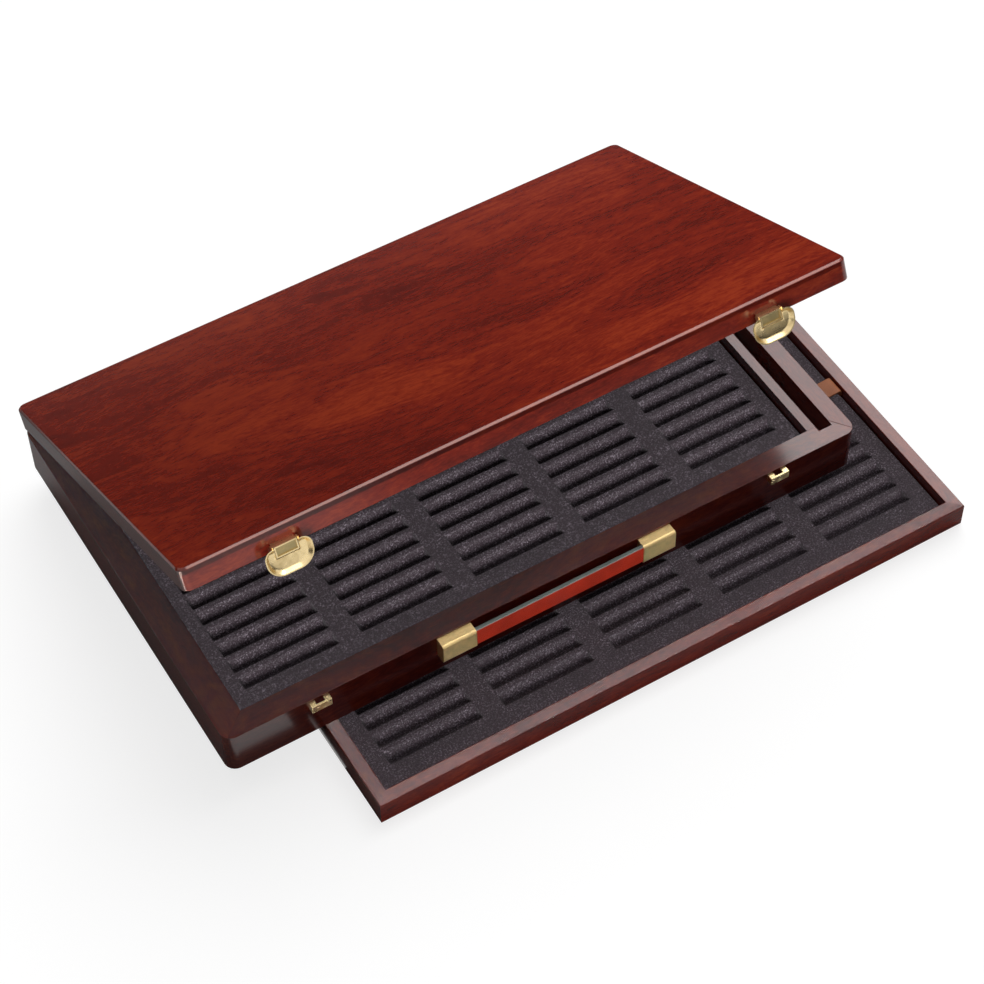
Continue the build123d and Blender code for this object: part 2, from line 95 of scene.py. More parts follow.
class FoamFinish(bpy.types.PropertyGroup):
    """Slotted inserts and the pad in the lid."""

    slot_length: length("Slot Length", "Along the stick", 0.071)
    slot_width: length("Slot Width", "Across the stick", 0.0106)
    slot_depth: length("Slot Depth", "From the foam's top to the slot's lowest line", 0.0064)
    row_pitch: length("Row Pitch", "From slot to slot across the sticks", 0.015)
    column_pitch: length("Column Pitch", "From slot to slot along the sticks", 0.0882)
    columns: IntProperty(name="Columns", description="Slots side by side", default=5, min=1)
    case_rows: IntProperty(name="Case Rows", description="Rows of slots in the case", default=16, min=1)
    tray_rows: IntProperty(name="Tray Rows", description="Rows of slots in the tray", default=15, min=1)
    lip: length("Lip", "Softness of the slots' upper edges", 0.0009)
    sag: length("Sag", "Unevenness of the surface", 0.00016)
    margin: length("Margin", "Gap that shows between foam and wall", 0.0003)
    base: colour("Base", "Foam", (0.037, 0.025, 0.032))
    speck: colour("Speck", "Bright cell walls", (0.300, 0.245, 0.295))
    crown: length("Crown", "Rise of the lid pad's middle", 0.0003)
    pad_edge: length("Pad Edge", "Width of the lid pad's rounded border", 0.004)


class BrassFinish(bpy.types.PropertyGroup):
    """Latches, keepers, handle caps and hinges."""

    edge: length("Edge", "Radius on sheet-metal edges", 0.00022)
    cap_edge: length("Cap Edge", "Radius on the handle caps' edges", 0.0004)
    metal: colour("Metal", "Polished brass", (0.86, 0.67, 0.36))
    tarnish: colour("Tarnish", "Duller patches", (0.62, 0.46, 0.22))
    satin: colour("Satin", "Brushed brass of the handle caps", (0.82, 0.59, 0.27))
    shadow: colour("Shadow", "Sunk and lacquered panels", (0.42, 0.33, 0.16))
    screw_radius: length("Screw Radius", "Heads of the hinge screws", 0.0024)
    screw_proud: length("Screw Height", "How far a head stands out of its leaf", 0.00006)


class LeatherFinish(bpy.types.PropertyGroup):
    """Handle strap and lifting tabs."""

    strap: colour("Strap", "Dyed face of the handle strap", (0.39, 0.023, 0.0065))
    # Edge paint whose pale grey also stands in for a painted sheen along the glossy edge.
    strap_edge_and_sheen: colour("Strap Edge", "Painted edge of the strap", (0.13, 0.15, 0.135))
    tab: colour("Tab", "Lifting tabs", (0.34, 0.12, 0.052))
    tab_corner: length("Tab Corner", "Rounding of a tab's free end", 0.006)
    tab_crown: length("Tab Crown", "Fullness of a tab across its width", 0.00015)


class StageSettings(bpy.types.PropertyGroup):
    """Floor, light and camera."""

    floor: colour("Floor", "Pale floor, before the white that is added where it is seen",
                  (0.30, 0.30, 0.30))
    floor_radius: length("Floor Radius", "From the middle to the floor's edge", 1.5)
    glow: FloatProperty(name="Glow", description="White added to the floor where it is seen",
                        default=0.77, min=0, max=1, subtype="FACTOR")
    lamp: FloatProperty(name="Lamp", description="Strength of the overhead light", default=2.0, min=0)
    lamp_angle: FloatProperty(name="Lamp Angle", description="Apparent width of the light",
                              default=math.radians(48), subtype="ANGLE")
    lamp_from: FloatVectorProperty(name="Lamp From", description="Direction towards the light",
                                   default=(0.43, 0.42, 0.80), subtype="DIRECTION", size=3)
    case_fill: FloatProperty(name="Case Fill", description="Front light into the opened case",
                             default=4.1, min=0)
    tray_fill: FloatProperty(name="Tray Fill", description="Front light on the tray's insert",
                             default=3.3, min=0)
    strap_fill: FloatProperty(name="Strap Fill", description="Front light on the handle strap",
                              default=2.6, min=0)
    front_fill: FloatProperty(name="Front Fill", description="Front light on the tray's front",
                              default=1.3, min=0)
    fill_from: FloatVectorProperty(name="Fill From", description="Direction towards the fill light",
                                   default=(-0.25, -0.83, 0.50), subtype="DIRECTION", size=3)
    tray_gleam: FloatProperty(name="Tray Gleam", description="Light along the tray's front and left rims",
                              default=1.2, min=0)
    strip: FloatProperty(name="Strip", description="Light along the lid's front edge", default=1.3,
                         min=0)
    strip_from: FloatVectorProperty(name="Strip From", description="Direction towards the strip",
                                    default=(0.324, -0.097, 0.940), subtype="DIRECTION", size=3)
    gleam: FloatProperty(name="Gleam", description="Light on the level faces under the lid",
                         default=0.3, min=0)
    gleam_from: FloatVectorProperty(name="Gleam From", description="Direction towards the gleam",
                                    default=(0.335, 0.540, 0.770), subtype="DIRECTION", size=3)
    glint: FloatProperty(name="Glint", description="Light on the brass fronts", default=0.22, min=0)
    glint_from: FloatVectorProperty(name="Glint From", description="Direction towards the glint",
                                    default=(0.335, -0.560, -0.760), subtype="DIRECTION", size=3)
    # Painted shade: grey cards that stand in for the floor's shadow beside the box, seen only in reflections.
    card: colour("Card", "Grey cards beside the box that only gloss shows", (0.30, 0.30, 0.30))
    sky_low: FloatProperty(name="Sky Low", description="Room light away from the lamp", default=0.03,
                           min=0)
    sky_high: FloatProperty(name="Sky High", description="Room light beside the lamp", default=0.6,
                            min=0)
    rail_fill: FloatProperty(name="Rail Fill", description="Front light on the lid's front rail",
                             default=2.9, min=0)
    corner: FloatProperty(name="Corner", description="Light along the lid's front left corner",
                          default=2.2, min=0)
    corner_from: FloatVectorProperty(name="Corner From", description="Direction towards that light",
                                     default=(-0.844, -0.384, -0.373), subtype="DIRECTION", size=3)
    warm: colour("Warm", "Colour of the lights along the lid's edges", (1.0, 0.66, 0.57))
    screen_height: length("Screen Height", "Black screen behind the box that only gloss shows", 0.7)
    camera_at: FloatVectorProperty(name="Camera", description="Place of the camera",
                                   default=(-0.5734, -1.0527, 1.5111), subtype="XYZ", size=3)
    look_at: FloatVectorProperty(name="Look At", description="Point in the middle of the picture",
                                 default=(0.0168, -0.0433, 0.0208), subtype="XYZ", size=3)
    roll: FloatProperty(name="Roll", description="Turn of the camera about its line of sight",
                        default=math.radians(-0.96), subtype="ANGLE")
    lens: FloatProperty(name="Lens", description="Focal length in millimetres", default=97.9, min=1)


# --------------------------------------------------------------------------------- node wiring
def put(tree, kind, inputs=(), **settings):
    """Adds one shader node, sets it up and links or fills its inputs."""
    made = tree.nodes.new("ShaderNode" + kind)
    for name, value in settings.items():
        setattr(made, name, value)
    for key, value in dict(inputs).items():
        if isinstance(value, bpy.types.NodeSocket):
            tree.links.new(value, made.inputs[key])
        else:
            made.inputs[key].default_value = value
    return made


def calc(tree, operation, first, second=0.0, clamp=False):
    return put(tree, "Math", {0: first, 1: second}, operation=operation, use_clamp=clamp).outputs[0]


def blend_colour(tree, factor, first, second):
    made = put(tree, "Mix", {0: factor, 6: first, 7: second}, data_type="RGBA")
    return made.outputs[2]


def spread(tree, value, low, high, out_low=0.0, out_high=1.0):
    """Stretches the part of a value between low and high."""
    made = put(tree, "MapRange", {0: value, 1: low, 2: high, 3: out_low, 4: out_high})
    return made.outputs[0]


def stretched(tree, vector, scale):
    return put(tree, "VectorMath", {0: vector, 1: scale}, operation="MULTIPLY").outputs[0]


def cloud(tree, vector, scale, detail=2.0, roughness=0.5, distortion=0.0):
    """Noise over a vector that is first scaled, in features per metre along each axis."""
    made = put(
        tree, "TexNoise",
        {"Vector": stretched(tree, vector, scale), "Scale": 1.0, "Detail": detail,
         "Roughness": roughness, "Distortion": distortion},
    )
    return made.outputs[0]


def shader_group(name, inputs, outputs):
    """A new node group with named sockets.  Returns its tree, its inputs and its outputs."""
    tree = bpy.data.node_groups.new(name, "ShaderNodeTree")
    kinds = {"vector": "NodeSocketVector", "colour": "NodeSocketColor", "value": "NodeSocketFloat"}
    for label, kind in inputs:
        tree.interface.new_socket(name=label, in_out="INPUT", socket_type=kinds[kind])
    for label, kind in outputs:
        tree.interface.new_socket(name=label, in_out="OUTPUT", socket_type=kinds[kind])
    entry = tree.nodes.new("NodeGroupInput")
    leave = tree.nodes.new("NodeGroupOutput")
    return tree, entry.outputs, leave.inputs


def wood_grain():
    """Reddish hardwood grained along X: figure, streaks, mottle, pores and a painted fall-off of light."""
    name = "wood_grain"
    if name in bpy.data.node_groups:
        return bpy.data.node_groups[name]
    tree, given, out = shader_group(
        name,
        (("Place", "vector"), ("Dark", "colour"), ("Middle", "colour"), ("Light", "colour"),
         ("Pores", "value")),
        (("Color", "colour"), ("Roughness", "value"), ("Height", "value")),
    )
    drift = put(tree, "TexNoise", {"Vector": stretched(tree, given["Place"], (3.5, 9, 9)),
                                   "Scale": 1.0, "Detail": 2.0})
    shift = put(tree, "VectorMath", {0: drift.outputs["Color"], 1: (0.5, 0.5, 0.5)},
                operation="SUBTRACT").outputs[0]
    bent = put(tree, "VectorMath", {0: shift, 1: (0.0, 0.06, 0.06), 2: given["Place"]},
               operation="MULTIPLY_ADD").outputs[0]
    broad = cloud(tree, bent, (5, 14, 14), 2.0, 0.5)
    rings = calc(tree, "SINE", calc(tree, "MULTIPLY", broad, 95.0))
    layers = (
        (broad, 0.40),
        (rings, 0.022),
        (cloud(tree, bent, (18, 120, 120), 3.0, 0.6), 0.18),
        (cloud(tree, bent, (70, 190, 190), 3.0, 0.65, 1.5), 0.24),
        (cloud(tree, bent, (170, 800, 800), 2.0, 0.6), 0.18),
    )
    total = 0.0
    for layer, share in layers:
        total = calc(tree, "ADD", total, calc(tree, "MULTIPLY", layer, share))
    level = spread(tree, total, 0.39, 0.61, 0.0, 2.0)
    low = blend_colour(tree, calc(tree, "MINIMUM", level, 1.0), given["Dark"], given["Middle"])
    ground = blend_colour(tree, calc(tree, "SUBTRACT", level, 1.0, True), low, given["Light"])
    flecks = spread(tree, cloud(tree, bent, (110, 620, 620), 2.0, 0.6), 0.60, 0.74)
    flecks = calc(tree, "MULTIPLY", flecks, 0.55)
    ground = blend_colour(tree, flecks, ground, given["Light"])
    pores = spread(tree, cloud(tree, bent, (120, 1100, 1100), 1.0), 0.58, 0.70)
    pores = calc(tree, "MULTIPLY", pores, given["Pores"])
    shown = blend_colour(tree, pores, ground, given["Dark"])
    # Painted shade: a slow wave along the grain darkens the wood towards one end and lightens it towards the
    # other. It is set so that the lid is darker to its left, in place of light falling off across it.
    run = put(tree, "SeparateXYZ", {0: bent}).outputs[0]
    light_falloff = calc(tree, "SINE", calc(tree, "MULTIPLY", run, 5.5))
    shade = spread(tree, light_falloff, -1.0, 1.0, 0.68, 1.08)
    toned = put(tree, "Mix", {0: 1.0, 6: shown, 7: shade}, data_type="RGBA",
                blend_type="MULTIPLY").outputs[2]
    tree.links.new(toned, out["Color"])
    tree.links.new(spread(tree, total, 0.35, 0.65, 0.55, 0.45), out["Roughness"])
    tree.links.new(calc(tree, "SUBTRACT", total, pores), out["Height"])
    return tree


def foam_cells():
    """Open cells of dark foam: fine pits with a scatter of bright cell walls."""
    name = "foam_cells"
    if name in bpy.data.node_groups:
        return bpy.data.node_groups[name]
    tree, given, out = shader_group(
        name,
        (("Place", "vector"), ("Base", "colour"), ("Speck", "colour")),
        (("Color", "colour"), ("Roughness", "value"), ("Height", "value")),
    )
    cells = put(tree, "TexVoronoi", {"Vector": given["Place"], "Scale": 900.0}).outputs["Distance"]
    specks = spread(tree, cloud(tree, given["Place"], (820, 820, 820), 3.0, 0.7), 0.52, 0.70)
    patches = spread(tree, cloud(tree, given["Place"], (110, 110, 110), 3.0), 0.35, 0.65, 0.35, 1.0)
    amount = calc(tree, "MULTIPLY", specks, patches)
    pits = spread(tree, cells, 0.1, 0.6, 0.55, 1.0)
    worn = put(tree, "Mix", {0: 1.0, 6: given["Base"], 7: pits}, data_type="RGBA",
               blend_type="MULTIPLY").outputs[2]
    tree.links.new(blend_colour(tree, amount, worn, given["Speck"]), out["Color"])
    tree.links.new(spread(tree, specks, 0.0, 1.0, 0.95, 0.6), out["Roughness"])
    tree.links.new(calc(tree, "ADD", specks, cells), out["Height"])
    return tree


def metal_wear():
    """Handled metal: hairline scratches, soft pitting and duller patches."""
    name = "metal_wear"
    if name in bpy.data.node_groups:
        return bpy.data.node_groups[name]
    tree, given, out = shader_group(
        name,
        (("Place", "vector"), ("Metal", "colour"), ("Tarnish", "colour"), ("Gloss", "value")),
        (("Color", "colour"), ("Roughness", "value"), ("Height", "value")),
    )
    patches = spread(tree, cloud(tree, given["Place"], (140, 140, 140), 3.0, 0.6), 0.45, 0.75)
    hairs = cloud(tree, given["Place"], (120, 2200, 2200), 2.0)
    dents = cloud(tree, given["Place"], (420, 420, 420), 2.0)
    tree.links.new(blend_colour(tree, patches, given["Metal"], given["Tarnish"]), out["Color"])
    rough = calc(tree, "MULTIPLY", spread(tree, hairs, 0.3, 0.7, 0.92, 1.10), given["Gloss"])
    rough = calc(tree, "ADD", rough, calc(tree, "MULTIPLY", patches, 0.08))
    tree.links.new(rough, out["Roughness"])
    tree.links.new(calc(tree, "ADD", calc(tree, "MULTIPLY", hairs, 0.25), dents), out["Height"])
    return tree


def leather_grain():
    """Pebbled leather with darker creases."""
    name = "leather_grain"
    if name in bpy.data.node_groups:
        return bpy.data.node_groups[name]
    tree, given, out = shader_group(
        name,
        (("Place", "vector"), ("Hide", "colour"), ("Cell", "value")),
        (("Color", "colour"), ("Roughness", "value"), ("Height", "value")),
    )
    cells = put(
        tree, "TexVoronoi", {"Vector": given["Place"], "Scale": given["Cell"], "Randomness": 0.9},
        feature="DISTANCE_TO_EDGE",
    ).outputs["Distance"]
    crease = spread(tree, cells, 0.0, 0.12)
    tone = spread(tree, cloud(tree, given["Place"], (70, 70, 70), 3.0), 0.3, 0.7, 0.78, 1.12)
    shade = calc(tree, "MULTIPLY", spread(tree, crease, 0.0, 1.0, 0.72, 1.0), tone)
    toned = put(tree, "Mix", {0: 1.0, 6: given["Hide"], 7: shade}, data_type="RGBA",
                blend_type="MULTIPLY").outputs[2]
    tree.links.new(toned, out["Color"])
    tree.links.new(spread(tree, crease, 0.0, 1.0, 0.6, 0.38), out["Roughness"])
    tree.links.new(crease, out["Height"])
    return tree


# ----------------------------------------------------------------------------------- materials
def finish(name, group, values, turn=(0.0, 0.0, 0.0), shift=(0.0, 0.0, 0.0), bump=(0.2, 0.0002),
           **shader):
    """A material whose colour, roughness and bump come from one of the shared groups."""
    if name in bpy.data.materials:
        return bpy.data.materials[name]
    material = bpy.data.materials.new(name)
    material.use_nodes = True
    tree = material.node_tree
    surface = tree.nodes["Principled BSDF"]
    place = put(tree, "TexCoord").outputs["Object"]
    place = put(tree, "Mapping", {"Vector": place, "Location": shift, "Rotation": turn}).outputs[0]
    effect = put(tree, "Group", node_tree=group)
    tree.links.new(place, effect.inputs["Place"])
    for label, value in values.items():
        effect.inputs[label].default_value = value
    tree.links.new(effect.outputs["Color"], surface.inputs["Base Color"])
    tree.links.new(effect.outputs["Roughness"], surface.inputs["Roughness"])
    relief = put(tree, "Bump", {"Height": effect.outputs["Height"], "Strength": bump[0],
                                "Distance": bump[1]})
    tree.links.new(relief.outputs[0], surface.inputs["Normal"])
    for label, value in shader.items():
        surface.inputs[label.replace("_", " ")].default_value = value
    return material


def rgba(three):
    return (*three, 1.0)


def wood(context, along, tilted=False, piece=0):
    """Lacquered wood with its grain along the case's X or Y, level or in the lid's plane."""
    look = context.scene.pastel_wood
    turn = (LID_TILT if tilted else 0.0, 0.0, -math.pi / 2 if along == "Y" else 0.0)
    return finish(
        f"wood_{'lid' if tilted else 'level'}_{along.lower()}_{piece}",
        wood_grain(),
        {"Dark": rgba(look.dark), "Middle": rgba(look.middle), "Light": rgba(look.light),
         "Pores": 0.27},
        turn=turn,
        shift=(0.37 * piece, 0.23 * piece, 0.11 * piece),
        bump=(0.10, 0.0002),
        Coat_Weight=1.0,
        Coat_Roughness=look.lacquer,
        Specular_IOR_Level=0.0,
    )


def foam(context):
    look = context.scene.pastel_foam
    return finish(
        "charcoal_foam", foam_cells(), {"Base": rgba(look.base), "Speck": rgba(look.speck)},
        bump=(0.8, 0.0005), Specular_IOR_Level=0.2, Sheen_Weight=0.12, Sheen_Roughness=0.6,
    )


def brass(context):
    look = context.scene.pastel_brass
    return finish(
        "polished_brass", metal_wear(),
        {"Metal": rgba(look.metal), "Tarnish": rgba(look.tarnish), "Gloss": 0.27},
        bump=(0.03, 0.0002), Metallic=1.0,
    )


def satin_brass(context):
    look = context.scene.pastel_brass
    return finish(
        "satin_brass", metal_wear(),
        {"Metal": rgba(look.satin), "Tarnish": rgba(look.tarnish), "Gloss": 0.36},
        bump=(0.0, 0.0002), Metallic=1.0,
    )


def dull_brass(context):
    look = context.scene.pastel_brass
    return finish(
        "dull_brass", metal_wear(),
        {"Metal": rgba(look.shadow), "Tarnish": rgba(look.tarnish), "Gloss": 0.42},
        bump=(0.03, 0.0002), Metallic=1.0,
    )


def steel():
    return finish(
        "bright_steel", metal_wear(),
        {"Metal": (0.62, 0.62, 0.60, 1.0), "Tarnish": (0.40, 0.39, 0.37, 1.0), "Gloss": 0.25},
        bump=(0.10, 0.0002), Metallic=1.0,
    )


def leather(name, hide, cell, coat, shine=0.5):
    return finish(
        name, leather_grain(), {"Hide": rgba(hide), "Cell": cell},
        bump=(0.25, 0.0002), Coat_Weight=coat, Coat_Roughness=0.22, Specular_IOR_Level=shine,
    )


# ------------------------------------------------------------------------------------- pieces
def place_piece(name, mesh, body, materials, nodes=(), weighted=True):
    """Links a finished mesh as one piece that rides on a body and may stand for CAD nodes."""
    bm_free = mesh.free
    data = bpy.data.meshes.new(name)
    mesh.normal_update()
    mesh.to_mesh(data)
    bm_free()
    for material in materials:
        data.materials.append(material)
    piece = bpy.data.objects.new(name, data)
    bpy.context.scene.collection.objects.link(piece)
    if weighted:
        even = piece.modifiers.new("even_normals", "WEIGHTED_NORMAL")
        even.keep_sharp = True
    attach(piece, body)
    if nodes:
        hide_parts(*nodes)
    return piece


def smooth_shade(mesh, sharp_angle=40.0):
    limit = math.radians(sharp_angle)
    for face in mesh.faces:
        face.smooth = True
    for edge in mesh.edges:
        edge.smooth = len(edge.link_faces) == 2 and edge.calc_face_angle(0.0) < limit


def is_mitre(face, turned):
    """True for the slanting end face where two sides of a frame meet."""
    normal = turned @ face.normal
    return abs(normal.z) < 0.05 and abs(abs(normal.x) - abs(normal.y)) < 0.05


def eased_copy(node, body, material, radius, levels=None, frame_place=LEVEL, segments=3,
               shape=None):
    """A CAD node's form with its sharp outer edges rounded, in place of the node.

    levels are heights in frame_place: only edges that lie at one of them are rounded, and none
    where two sides meet in a mitre.  shape is a function that works the form over first.
    """
    mesh = bmesh.new()
    mesh.from_mesh(frame["nodes"][node].data)
    bmesh.ops.remove_doubles(mesh, verts=mesh.verts[:], dist=1e-6)
    bmesh.ops.dissolve_limit(mesh, angle_limit=math.radians(0.4), verts=mesh.verts[:],
                             edges=mesh.edges[:])
    if shape:
        shape(mesh)
    to_local = frame_place.inverted()
    turned = to_local.to_3x3()
    chosen = []
    for edge in mesh.edges:
        if len(edge.link_faces) != 2 or not edge.is_convex:
            continue
        if edge.calc_face_angle(0.0) < math.radians(32):
            continue
        if levels is not None:
            heights = [(to_local @ vertex.co).z for vertex in edge.verts]
            at_level = any(all(abs(height - level) < 1e-5 for height in heights) for level in levels)
            if not at_level or any(is_mitre(face, turned) for face in edge.link_faces):
                continue
        chosen.append(edge)
    bmesh.ops.bevel(mesh, geom=chosen, offset=radius, offset_type="OFFSET", segments=segments,
                    profile=0.5, affect="EDGES", clamp_overlap=True)
    smooth_shade(mesh)
    return place_piece(f"{node}_finished", mesh, body, [material], [node])


def dish_flap(mesh):
    """Hollows the flat floor of a latch flap's dish a little further towards its middle."""
    front = LID_PLACE.to_3x3() @ Vector((0.0, -1.0, 0.0))
    floors = [face for face in mesh.faces if face.normal.dot(front) > 0.999]
    floor = max(floors, key=lambda face: face.calc_area())
    level = floor.calc_center_median().dot(front)
    points = [LID_PLACE.inverted() @ vertex.co for vertex in mesh.verts]
    low, high = (Vector([pick(point[axis] for point in points) for axis in range(3)])
                 for pick in (min, max))
    middle = (low + high) / 2
    turned = LID_PLACE.to_3x3()
    for axis, direction in ((0, Vector((1, 0, 0))), (2, Vector((0, 0, 1)))):
        place = low[axis] + 0.0011
        while place < high[axis]:
            spot = middle.copy()
            spot[axis] = place
            near = [face for face in mesh.faces if face.normal.dot(front) > 0.999
                    and abs(face.calc_center_median().dot(front) - level) < 1e-5]
            parts = list({edge for face in near for edge in face.edges})
            corners = list({vertex for face in near for vertex in face.verts})
            bmesh.ops.bisect_plane(mesh, geom=near + parts + corners, dist=1e-6,
                                   plane_co=LID_PLACE @ spot, plane_no=turned @ direction)
            place += 0.0011
    for vertex in mesh.verts:
        if abs(vertex.co.dot(front) - level) > 1e-5:
            continue
        if not all(face.normal.dot(front) > 0.999 for face in vertex.link_faces):
            continue
        point = LID_PLACE.inverted() @ vertex.co
        across = abs(point.x - middle.x) / (high.x - middle.x)
        up = abs(point.z - middle.z) / (high.z - middle.z)
        vertex.co -= front * 0.00062 * max(1.0 - across ** 2.4 - up ** 2.4, 0.0)


def square_lip(mesh):
    """Takes the broad round off the trough's lip, so that the divider is flat across its top."""
    top = max(vertex.co.z for vertex in mesh.verts)
    right = max(vertex.co.x for vertex in mesh.verts if vertex.co.z > top - 0.01)
    for vertex in mesh.verts:
        if top - 0.0029 < vertex.co.z < top - 0.0001 and vertex.co.x < right - 0.00001:
            vertex.co.x, vertex.co.z = right, top
    bmesh.ops.remove_doubles(mesh, verts=mesh.verts[:], dist=1e-6)
    bmesh.ops.dissolve_limit(mesh, angle_limit=math.radians(0.4), verts=mesh.verts[:],
                             edges=mesh.edges[:])


def dress_node(node, material):
    """Gives a CAD node that stays a better material."""
    slots = frame["nodes"][node].material_slots
    for holder in slots:
        holder.material = material


def local_box(node, place):
    """Lowest and highest corners of a CAD node in another frame."""
    back = place.inverted()
    points = [back @ vertex.co for vertex in frame["nodes"][node].data.vertices]
    low = Vector([min(point[axis] for point in points) for axis in range(3)])
    high = Vector([max(point[axis] for point in points) for axis in range(3)])
    return low, high


def height_block(xs, ys, height, base):
    """A closed block whose top is a height over a grid and whose underside is flat."""
    mesh = bmesh.new()
    grid = [[mesh.verts.new((x, y, height(x, y))) for x in xs] for y in ys]
    for row, above in zip(grid, grid[1:]):
        for a, b, c, d in zip(row, row[1:], above[1:], above):
            mesh.faces.new((a, b, c, d))
    border = (
        grid[0] + [row[-1] for row in grid[1:]] + grid[-1][-2::-1] + [row[0] for row in grid[-2:0:-1]]
    )
    foot = [mesh.verts.new((vertex.co.x, vertex.co.y, base)) for vertex in border]
    for index, vertex in enumerate(border):
        following = (index + 1) % len(border)
        mesh.faces.new((foot[index], foot[following], border[following], vertex))
    mesh.faces.new(foot[::-1])
    return mesh


# --------------------------------------------------------------------------------------- foam
def lip_steps(lip):
    """Offsets and depths of a rounded lip, from the flat top to the brink."""
    steps = []
    for share in (1.0, 0.5, 0.2, 0.0):
        inward = lip * (1 - share)
        steps.append((share * lip, lip - math.sqrt(lip * lip - inward * inward)))
    return steps


def slot_section(look):
    """Offsets and depths across one slot: lip, short upright side, round bottom, and back."""
    half = look.slot_width / 2
    upright = look.slot_depth - half
    left = [(-half - offset, depth) for offset, depth in lip_steps(look.lip)]
    left[-1] = (-half, (look.lip + upright) / 2)
    for degrees in (86, 74, 60, 46, 31, 15):
        angle = math.radians(degrees)
        left.append((-half * math.sin(angle), upright + half * math.cos(angle)))
    return left + [(0.0, look.slot_depth)] + [(-offset, depth) for offset, depth in reversed(left)]


def slot_run(look):
    """Offsets and depth shares along one slot: soft lip, steep end, and back."""
    half = look.slot_length / 2
    left = [(-half - offset, depth / look.slot_depth) for offset, depth in lip_steps(look.lip)]
    left += [(-half + offset, share) for offset, share in
             ((0.0003, 0.42), (0.0008, 0.62), (0.0015, 0.78), (0.0024, 0.90), (0.0036, 0.97), (0.005, 1.0))]
    return left + [(-offset, share) for offset, share in reversed(left)]


def repeat(section, count, pitch, middle):
    """The same run of offsets repeated about a middle, as a list of (place, amount)."""
    places = []
    for index in range(count):
        centre = middle + (index - (count - 1) / 2) * pitch
        places += [(centre + offset, amount) for offset, amount in section]
    return places


def with_border(places, low, high, edge):
    """Adds the insert's own rounded border to a run of places."""
    steps = [(offset, depth) for offset, depth in lip_steps(edge)]
    first = [(low + edge - offset, 0.0) for offset, depth in reversed(steps)]
    last = [(high - edge + offset, 0.0) for offset, depth in steps]
    inner = [item for item in places if low + edge < item[0] < high - edge]
    return sorted(first + inner + last)


def foam_insert(context, node, rows, body):
    """One slotted insert: soft lips, round-bottomed slots and a slightly uneven skin."""
    look = context.scene.pastel_foam
    low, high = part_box(node)
    margin = look.margin
    low = Vector((low.x + margin, low.y + margin, low.z))
    high = Vector((high.x - margin, high.y - margin, high.z))
    middle = (low + high) / 2
    along = with_border(repeat(slot_run(look), look.columns, look.column_pitch, middle.x),
                        low.x, high.x, look.lip)
    across = with_border(repeat(slot_section(look), rows, look.row_pitch, middle.y),
                         low.y, high.y, look.lip)
    share_at = dict(along)
    depth_at = dict(across)

    def height(x, y):
        nearest = min(x - low.x, high.x - x, y - low.y, high.y - y)
        fall = 0.0
        if nearest < look.lip:
            inward = look.lip - nearest
            fall = look.lip - math.sqrt(max(look.lip ** 2 - inward ** 2, 0.0))
        wave = noise.noise(Vector((x * 90, y * 90, 3.0))) + 0.5 * noise.noise(Vector((x * 420, y * 420, 7.0)))
        return high.z - share_at[x] * depth_at[y] - fall - look.sag * (1.0 + wave)

    xs = [place for place, share in along]
    ys = [place for place, depth in across]
    mesh = height_block(xs, ys, height, low.z)
    smooth_shade(mesh, 75)
    piece = place_piece(f"{node}_insert", mesh, body, [foam(context)], [node], weighted=False)
    return piece


def lid_pad(context):
    """The pad in the lid: a soft sheet with rounded borders and a slight crown."""
    look = context.scene.pastel_foam
    low, high = local_box("lid_liner", LID_PLACE)
    margin = look.margin
    half_x = (high.x - low.x) / 2 - margin
    half_y = (high.y - low.y) / 2 - margin
    thick = high.z - low.z
    edge = look.pad_edge
    steps = (0.0, 0.08, 0.2, 0.4, 0.7, 1.0)

    def places(half):
        border = [-half + step * edge for step in steps]
        count = 40
        inner = [-half + edge + (2 * half - 2 * edge) * index / count for index in range(1, count)]
        return border + inner + [-place for place in reversed(border)]

    def height(x, y):
        nearest = min(half_x - abs(x), half_y - abs(y))
        fall = 0.0
        if nearest < edge:
            share = 1 - nearest / edge
            fall = edge * 0.6 * (1 - math.sqrt(max(1 - share * share, 0.0)))
        crown = look.crown * (1 - (x / half_x) ** 2) * (1 - (y / half_y) ** 2)
        ripple = look.sag * noise.noise(Vector((x * 25, y * 25, 11.0)))
        return thick - fall - look.crown - look.sag + crown + ripple

    mesh = height_block(places(half_x), places(half_y), height, 0.0)
    middle = (low + high) / 2
    turn = Matrix.Translation((middle.x, middle.y, high.z)) @ Matrix.Rotation(math.pi, 4, "X")
    mesh.transform(LID_PLACE @ turn)
    smooth_shade(mesh, 60)
    piece = place_piece("lid_liner_pad", mesh, "lid", [foam(context)], ["lid_liner"],
                        weighted=False)
    return piece


# ------------------------------------------------------------------------------------- leather
def tab_path(low, high, hand, thick):
    """Middle line of a lifting tab in its X-Z plane: up the wall, over, and down to its free end."""
    wall = high.x if hand > 0 else low.x
    free = low.x if hand > 0 else high.x
    leg_x = wall - hand * thick / 2
    top = high.z - thick / 2
    bend = 0.0024
    points = [(leg_x, low.z), (leg_x, (low.z + top - bend) / 2)]
    for step in range(7):
        angle = math.radians(15 * step)
        points.append((leg_x - hand * bend * (1 - math.cos(angle)), top - bend + bend * math.sin(angle)))
    start = points[-1]
    turn = (wall - hand * 0.022, top - 0.0009)
    end = (free, low.z + 0.0010)
    for step in range(1, 15):
        t = step / 14
        points.append(tuple(
            (1 - t) ** 2 * start[k] + 2 * t * (1 - t) * turn[k] + t * t * end[k] for k in range(2)
        ))
    return points


